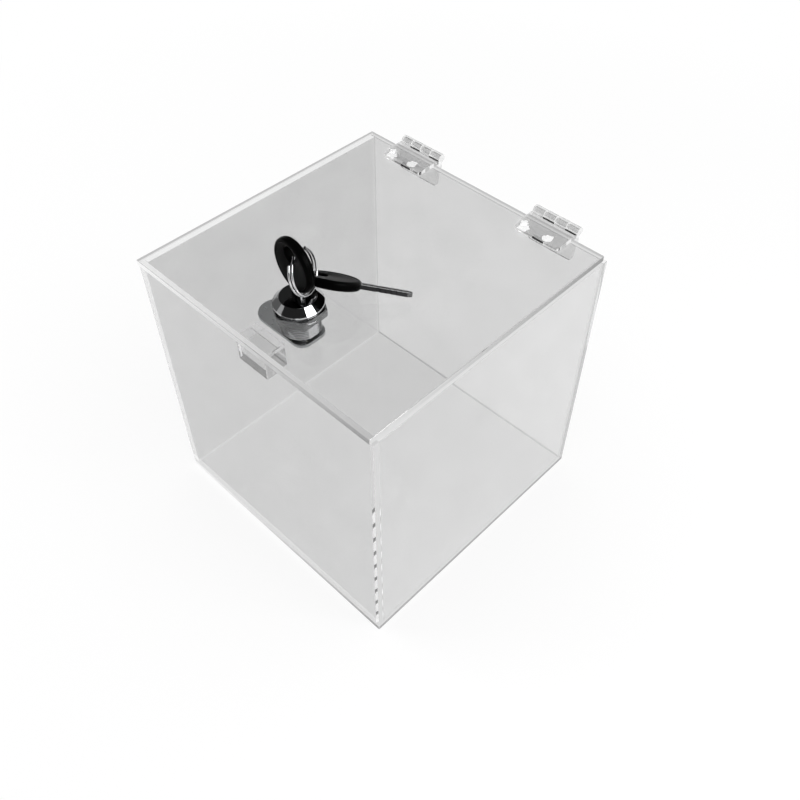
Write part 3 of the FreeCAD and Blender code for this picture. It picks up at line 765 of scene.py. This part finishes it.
class DONATIONBOX_OT_mould_heads(Operator):
    """Mould the black key heads, with lipped faces, round edges and a parting line, and dress the blades"""
    bl_idname = "donation_box.mould_heads"
    bl_label = "Mould Key Heads"

    def execute(self, context):
        shape = context.scene.donation_box_head
        place, reaches = key_place("key_1_blade", "key_1_head")
        first = self.mould(context, shape, reaches[0] / 2, reaches[2] / 2)
        first.data.materials.append(black_plastic("moulded_black_plastic", shape.plastic_colour))
        bpy.ops.object.duplicate(linked=False)
        second = context.object
        self.settle(first, place, "key_1_head", "first_key")
        self.settle(second, key_place("key_2_blade", "key_2_head")[0], "key_2_head", "second_key")
        # Painted shade: the blades' nickel is a darker copy of the ring's.
        colour = context.scene.donation_box_metal.blade_shade_colour
        dress(("key_1_blade", "key_2_blade"), plated_metal(
            "darkened_nickel_plate", colour, roughness=0.12, grain=1.2, unevenness=0.05))
        return {"FINISHED"}

    def mould(self, context, shape, radius, half):
        """Upper half of a head turned loop by loop, bridged to its hole and mirrored."""
        rim = radius - shape.parting_ridge
        top = rim - shape.edge_round
        outside = [(radius, 0.0), (radius, shape.parting_ridge), (rim, 2 * shape.parting_ridge)]
        for step in range(RIM_STEPS + 1):
            turn = math.radians(90) * step / RIM_STEPS
            outside.append((top + shape.edge_round * math.cos(turn),
                            half - shape.edge_round + shape.edge_round * math.sin(turn)))
        dish = half - shape.dish_depth
        outside += [(top - LIP, half), (top - 2 * LIP, dish)]
        bore = shape.hole_radius
        inside = [(bore + out * HOLE_ROUND, dish - down * HOLE_ROUND) for out, down in HOLE_EDGE]
        inside.append((bore, 0.0))
        hole_at = shape.hole_from_top - radius
        if outside[-1][0] <= abs(hole_at) + inside[0][0]:
            raise RuntimeError("the hole breaks through the key head's lip")
        bpy.ops.object.select_all(action="DESELECT")
        bpy.ops.mesh.primitive_circle_add(vertices=HEAD_STEPS, radius=radius, location=(0, 0, 0))
        head = context.object
        bpy.ops.object.mode_set(mode="EDIT")
        bpy.ops.mesh.select_mode(type="EDGE")
        bpy.ops.mesh.select_all(action="SELECT")
        carry_loop(outside)
        bpy.ops.mesh.primitive_circle_add(vertices=HEAD_STEPS, radius=inside[0][0],
                                          location=(hole_at, 0, dish))
        carry_loop(inside)
        select_rims(head.data, dish)
        bpy.ops.mesh.bridge_edge_loops()
        bpy.ops.object.mode_set(mode="OBJECT")
        mirror = head.modifiers.new("halves", "MIRROR")
        mirror.use_axis = (False, False, True)
        mirror.merge_threshold = 0.1 * NEAR
        bpy.ops.object.modifier_apply(modifier=mirror.name)
        bpy.ops.object.mode_set(mode="EDIT")
        bpy.ops.mesh.select_all(action="SELECT")
        bpy.ops.mesh.normals_make_consistent(inside=False)
        bpy.ops.object.mode_set(mode="OBJECT")
        bpy.ops.object.shade_smooth_by_angle(angle=math.radians(40))
        return head

    def settle(self, head, place, node, body):
        """Lays a head where the CAD has it."""
        bpy.ops.object.select_all(action="DESELECT")
        head.name = "moulded_" + node
        head.matrix_world = place
        head.select_set(True)
        bpy.context.view_layer.objects.active = head
        bpy.ops.object.transform_apply(location=True, rotation=True, scale=True)
        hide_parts(node)
        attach(head, body)


class DONATIONBOX_OT_wind_ring(Operator):
    """Wind the split ring: two close turns of round wire that cross over once"""
    bl_idname = "donation_box.wind_ring"
    bl_label = "Wind Split Ring"

    def execute(self, context):
        shape = context.scene.donation_box_ring
        line = bpy.data.curves.new("split_ring", "CURVE")
        line.dimensions = "3D"
        line.bevel_depth = shape.wire / 2
        line.bevel_resolution = 4
        line.use_fill_caps = True
        path = self.path(shape)
        wire = line.splines.new("POLY")
        wire.points.add(len(path) - 1)
        for point, spot in zip(wire.points, path):
            point.co = (*spot, 1.0)
        ring = bpy.data.objects.new("split_ring", line)
        context.scene.collection.objects.link(ring)
        bpy.ops.object.select_all(action="DESELECT")
        ring.select_set(True)
        context.view_layer.objects.active = ring
        bpy.ops.object.convert(target="MESH")
        ring = context.object
        bpy.ops.object.shade_smooth_by_angle(angle=math.radians(50))
        ring.data.materials.clear()
        colour = context.scene.donation_box_metal.ring_colour
        ring.data.materials.append(plated_metal(
            "bright_nickel_plate", colour, roughness=0.1, grain=1.2, unevenness=0.04))
        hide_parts("key_ring")
        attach(ring, "ring")
        return {"FINISHED"}

    def path(self, shape):
        """The wire's middle line, about the circle that both joints of the ring touch."""
        spots = [Vector(JOINTS[name]["pos_m"]) for name in ("ring_swing", "second_key_swing")]
        ways = [Vector(JOINTS[name]["axis"]) for name in ("ring_swing", "second_key_swing")]
        normal = ways[1].cross(ways[0]).normalized()
        across = Vector((0, 0, 1)).cross(normal).normalized()
        rise = normal.cross(across)
        inward = [normal.cross(way) for way in ways]
        spread = inward[0] - inward[1]
        radius = (spots[1] - spots[0]).dot(spread) / spread.length_squared
        centre = spots[0] + inward[0] * radius
        lane = (shape.wire + shape.turn_gap) / 2
        cross_start = shape.cross_at - shape.cross_angle / 2
        start = cross_start + shape.cross_angle - math.tau + shape.end_angle
        end = cross_start + math.tau - shape.end_angle
        path = []
        for index in range(RING_STEPS + 1):
            turn = start + (end - start) * index / RING_STEPS
            share = min(1.0, max(0.0, (turn - cross_start) / shape.cross_angle))
            offset = lane * (2 * share * share * (3 - 2 * share) - 1)
            path.append(centre + (across * math.cos(turn) + rise * math.sin(turn)) * abs(radius)
                        + normal * offset)
        return path


def shown_ray(tree):
    """1 for rays that show a background: straight to the camera, in a mirror or through glass."""
    path = add_node(tree, "ShaderNodeLightPath")
    return either(tree, [path.outputs[f"Is {kind} Ray"] for kind in ("Camera", "Glossy", "Transmission")])


def floor_paint(colour):
    """Matt white paper: its own white where it is looked at, less a share for the shadow near the box."""
    material, tree, output = new_material("matt_white_paper")
    lit = add_node(tree, "ShaderNodeBsdfDiffuse", None, {"Color": opaque(colour)})
    place = add_node(tree, "ShaderNodeTexCoord").outputs["Object"]
    reach = vector_maths(tree, "LENGTH", place)
    own = add_node(tree, "ShaderNodeMapRange", None, {
        "Value": reach.outputs["Value"], "From Min": SHADOW_START, "From Max": SHADOW_END,
        "To Min": FLOOR_WHITE, "To Max": 1.0})
    share = maths(tree, "MULTIPLY", shown_ray(tree), own.outputs["Result"])
    mixed = add_node(tree, "ShaderNodeMixShader", None, {0: share, 1: lit.outputs[0], 2: glow(tree, 1.0)})
    tree.links.new(mixed.outputs[0], output.inputs["Surface"])
    return material


def studio_world(level, dark):
    """White surroundings that light at a plain level; mirrors and plastic see their front left dark."""
    world = bpy.data.worlds.new("white_studio")
    bpy.context.scene.world = world
    world.use_nodes = True
    tree = world.node_tree
    tree.nodes.clear()
    output = add_node(tree, "ShaderNodeOutputWorld")
    place = add_node(tree, "ShaderNodeTexCoord")
    side = vector_maths(tree, "DOT_PRODUCT", place.outputs["Generated"], BACK_RIGHT)
    shown = add_node(tree, "ShaderNodeMapRange", None, {
        "Value": side.outputs["Value"], "From Min": 0.0, "From Max": WHITE_FROM, "To Min": dark,
        "To Max": 1.0})
    looked_at = add_node(tree, "ShaderNodeLightPath").outputs["Is Camera Ray"]
    peak = maths(tree, "MAXIMUM", shown.outputs["Result"], looked_at)
    strength = add_node(tree, "ShaderNodeMapRange", None, {
        "Value": shown_ray(tree), "To Min": level, "To Max": peak})
    sky = add_node(tree, "ShaderNodeBackground", None, {
        "Color": (1, 1, 1, 1), "Strength": strength.outputs["Result"]})
    tree.links.new(sky.outputs[0], output.inputs["Surface"])


def softbox(name, place, aim, size, power):
    """A square lamp at a place, turned to a point."""
    bpy.ops.object.light_add(type="AREA", location=place)
    lamp = bpy.context.object
    lamp.name = name
    lamp.data.shape = "SQUARE"
    lamp.data.size = size
    lamp.data.energy = power
    lamp.rotation_euler = (Vector(aim) - Vector(place)).to_track_quat("-Z", "Y").to_euler()
    return lamp


def matt_card(name, place, aim, size, mirrored, through=None):
    """A matt card that only mirrors see, and clear plastic where its level through that is given."""
    bpy.ops.object.select_all(action="DESELECT")
    bpy.ops.mesh.primitive_grid_add(x_subdivisions=4, y_subdivisions=4, size=1)
    card = bpy.context.object
    card.name = name
    card.scale = (*size, 1)
    card.rotation_euler = (Vector(aim) - Vector(place)).to_track_quat("Z", "Y").to_euler()
    card.location = place
    material, tree, output = new_material(name + "_cloth")
    path = add_node(tree, "ShaderNodeLightPath")
    level = add_node(tree, "ShaderNodeMapRange", None, {
        "Value": path.outputs["Is Transmission Ray"], "To Min": mirrored, "To Max": through or 0.0})
    tree.links.new(glow(tree, level.outputs["Result"]), output.inputs["Surface"])
    card.data.materials.append(material)
    card.visible_camera = False
    card.visible_diffuse = False
    card.visible_shadow = False
    card.visible_transmission = through is not None


class DONATIONBOX_OT_build_stage(Operator):
    """Set up the floor, the lamps, the surroundings and the camera"""
    bl_idname = "donation_box.build_stage"
    bl_label = "Build Stage"

    def execute(self, context):
        studio = context.scene.donation_box_studio
        context.scene.view_settings.view_transform = "Standard"
        bpy.ops.object.select_all(action="DESELECT")
        bpy.ops.mesh.primitive_circle_add(vertices=128, radius=studio.floor_radius, fill_type="NGON",
                                          location=(0, 0, -FLOOR_DROP))
        floor = context.object
        floor.name = "studio_floor"
        floor.data.materials.append(floor_paint(studio.floor_colour))
        studio_world(level=0.5, dark=0.12)
        context.scene.cycles.max_bounces = BOUNCES
        context.scene.cycles.transmission_bounces = BOUNCES
        context.scene.cycles.glossy_bounces = BOUNCES
        context.scene.cycles.transparent_max_bounces = BOUNCES // 2
        context.scene.cycles.caustics_reflective = False
        context.scene.cycles.caustics_refractive = False
        right = softbox("right_softbox", place=(0.75, 0.15, 0.75), aim=STAGE_MIDDLE, size=0.5, power=7.0)
        left = softbox("left_softbox", place=(-0.9, -0.5, 0.9), aim=STAGE_MIDDLE, size=0.8, power=8.0)
        left.visible_glossy = False
        for lamp in (right, left):
            lamp.visible_transmission = False
        matt_card("ceiling_card", place=(0, 0, 1.3), aim=(0, 0, 0), size=(3.2, 3.2), mirrored=0.02,
                  through=0.5)
        matt_card("front_card", place=(-0.115, -0.228, 0.001), aim=(-0.115, -0.228, 1), size=(0.38, 0.3),
                  mirrored=0.5)
        matt_card("left_card", place=(-0.62, -0.72, 0.54), aim=(0, 0, 0.15), size=(0.3, 0.3), mirrored=0.4)
        self.place_camera(context, studio)
        return {"FINISHED"}

    def place_camera(self, context, studio):
        """The photograph's view: the camera turns about the target and rolls a little."""
        level = math.cos(studio.elevation)
        back = Vector((math.sin(studio.azimuth) * level, -math.cos(studio.azimuth) * level,
                       math.sin(studio.elevation)))
        right = Vector((0, 0, 1)).cross(back).normalized()
        up = back.cross(right)
        turned = math.cos(studio.roll) * right + math.sin(studio.roll) * up
        place = Vector(studio.target) + back * studio.distance
        axes = Matrix((turned, back.cross(turned), back)).transposed().to_4x4()
        camera = bpy.data.cameras.new("studio_camera")
        camera.sensor_width = 36.0
        camera.lens = studio.lens
        camera.clip_start = 0.01
        holder = bpy.data.objects.new("studio_camera", camera)
        context.scene.collection.objects.link(holder)
        holder.matrix_world = Matrix.Translation(place) @ axes
        context.scene.camera = holder


class DONATIONBOX_PT_sidebar(Panel):
    """Steps that dress the donation box"""
    bl_idname = "DONATIONBOX_PT_sidebar"
    bl_label = "Donation Box"
    bl_space_type = "VIEW_3D"
    bl_region_type = "UI"
    bl_category = "Donation Box"

    def draw(self, context):
        for step in STEPS:
            self.layout.operator(step.bl_idname)


GROUPS = {
    "donation_box_acrylic": AcrylicFinish,
    "donation_box_cement": CementShape,
    "donation_box_metal": MetalFinish,
    "donation_box_head": KeyHeadShape,
    "donation_box_ring": RingShape,
    "donation_box_studio": StudioSetup,
}
STEPS = (DONATIONBOX_OT_dress_acrylic, DONATIONBOX_OT_lay_cement, DONATIONBOX_OT_dress_lock,
         DONATIONBOX_OT_mould_heads, DONATIONBOX_OT_wind_ring, DONATIONBOX_OT_build_stage)
CLASSES = tuple(GROUPS.values()) + STEPS + (DONATIONBOX_PT_sidebar,)


def register():
    for cls in CLASSES:
        bpy.utils.register_class(cls)
    for name, group in GROUPS.items():
        setattr(bpy.types.Scene, name, PointerProperty(type=group))


def unregister():
    for name in GROUPS:
        delattr(bpy.types.Scene, name)
    for cls in reversed(CLASSES):
        bpy.utils.unregister_class(cls)


def main():
    register()
    bpy.ops.donation_box.dress_acrylic()
    bpy.ops.donation_box.lay_cement()
    bpy.ops.donation_box.dress_lock()
    bpy.ops.donation_box.mould_heads()
    bpy.ops.donation_box.wind_ring()
    bpy.ops.donation_box.build_stage()


if __name__ == "__main__":
    main()
